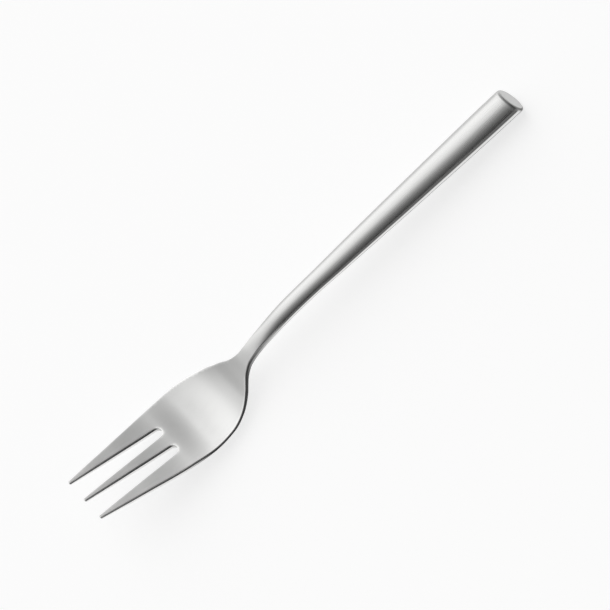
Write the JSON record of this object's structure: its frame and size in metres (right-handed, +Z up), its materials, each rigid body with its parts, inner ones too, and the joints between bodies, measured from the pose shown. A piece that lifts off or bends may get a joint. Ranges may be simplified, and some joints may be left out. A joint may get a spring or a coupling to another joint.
{
  "type": "pastry fork",
  "caption": "Slender satin steel pastry fork with three tapered tines, a shallow bowl and an oval hollow handle cut obliquely at the butt.",
  "frame": {"origin": "on the table, under the middle of the fork", "axes": "+X along the fork from the tines to the butt of the handle, +Z up from the table, +Y across the fork to its left"},
  "size_m": [0.155, 0.023, 0.0142],
  "materials": {
    "head_steel": "forged stainless steel, fine satin along the fork",
    "upper_shell_steel": "stamped stainless steel, fine satin along the handle",
    "lower_shell_steel": "stamped stainless steel, fine satin along the handle",
    "cap_steel": "stainless steel plate, finely brushed across the face",
    "cement": "set filling cement, hidden inside the handle"
  },
  "bodies": {
    "root": {"fork_head": "head_steel", "handle_upper_shell": "upper_shell_steel", "handle_lower_shell": "lower_shell_steel", "end_cap": "cap_steel", "cement_core": "cement"}
  },
  "joints": []
}
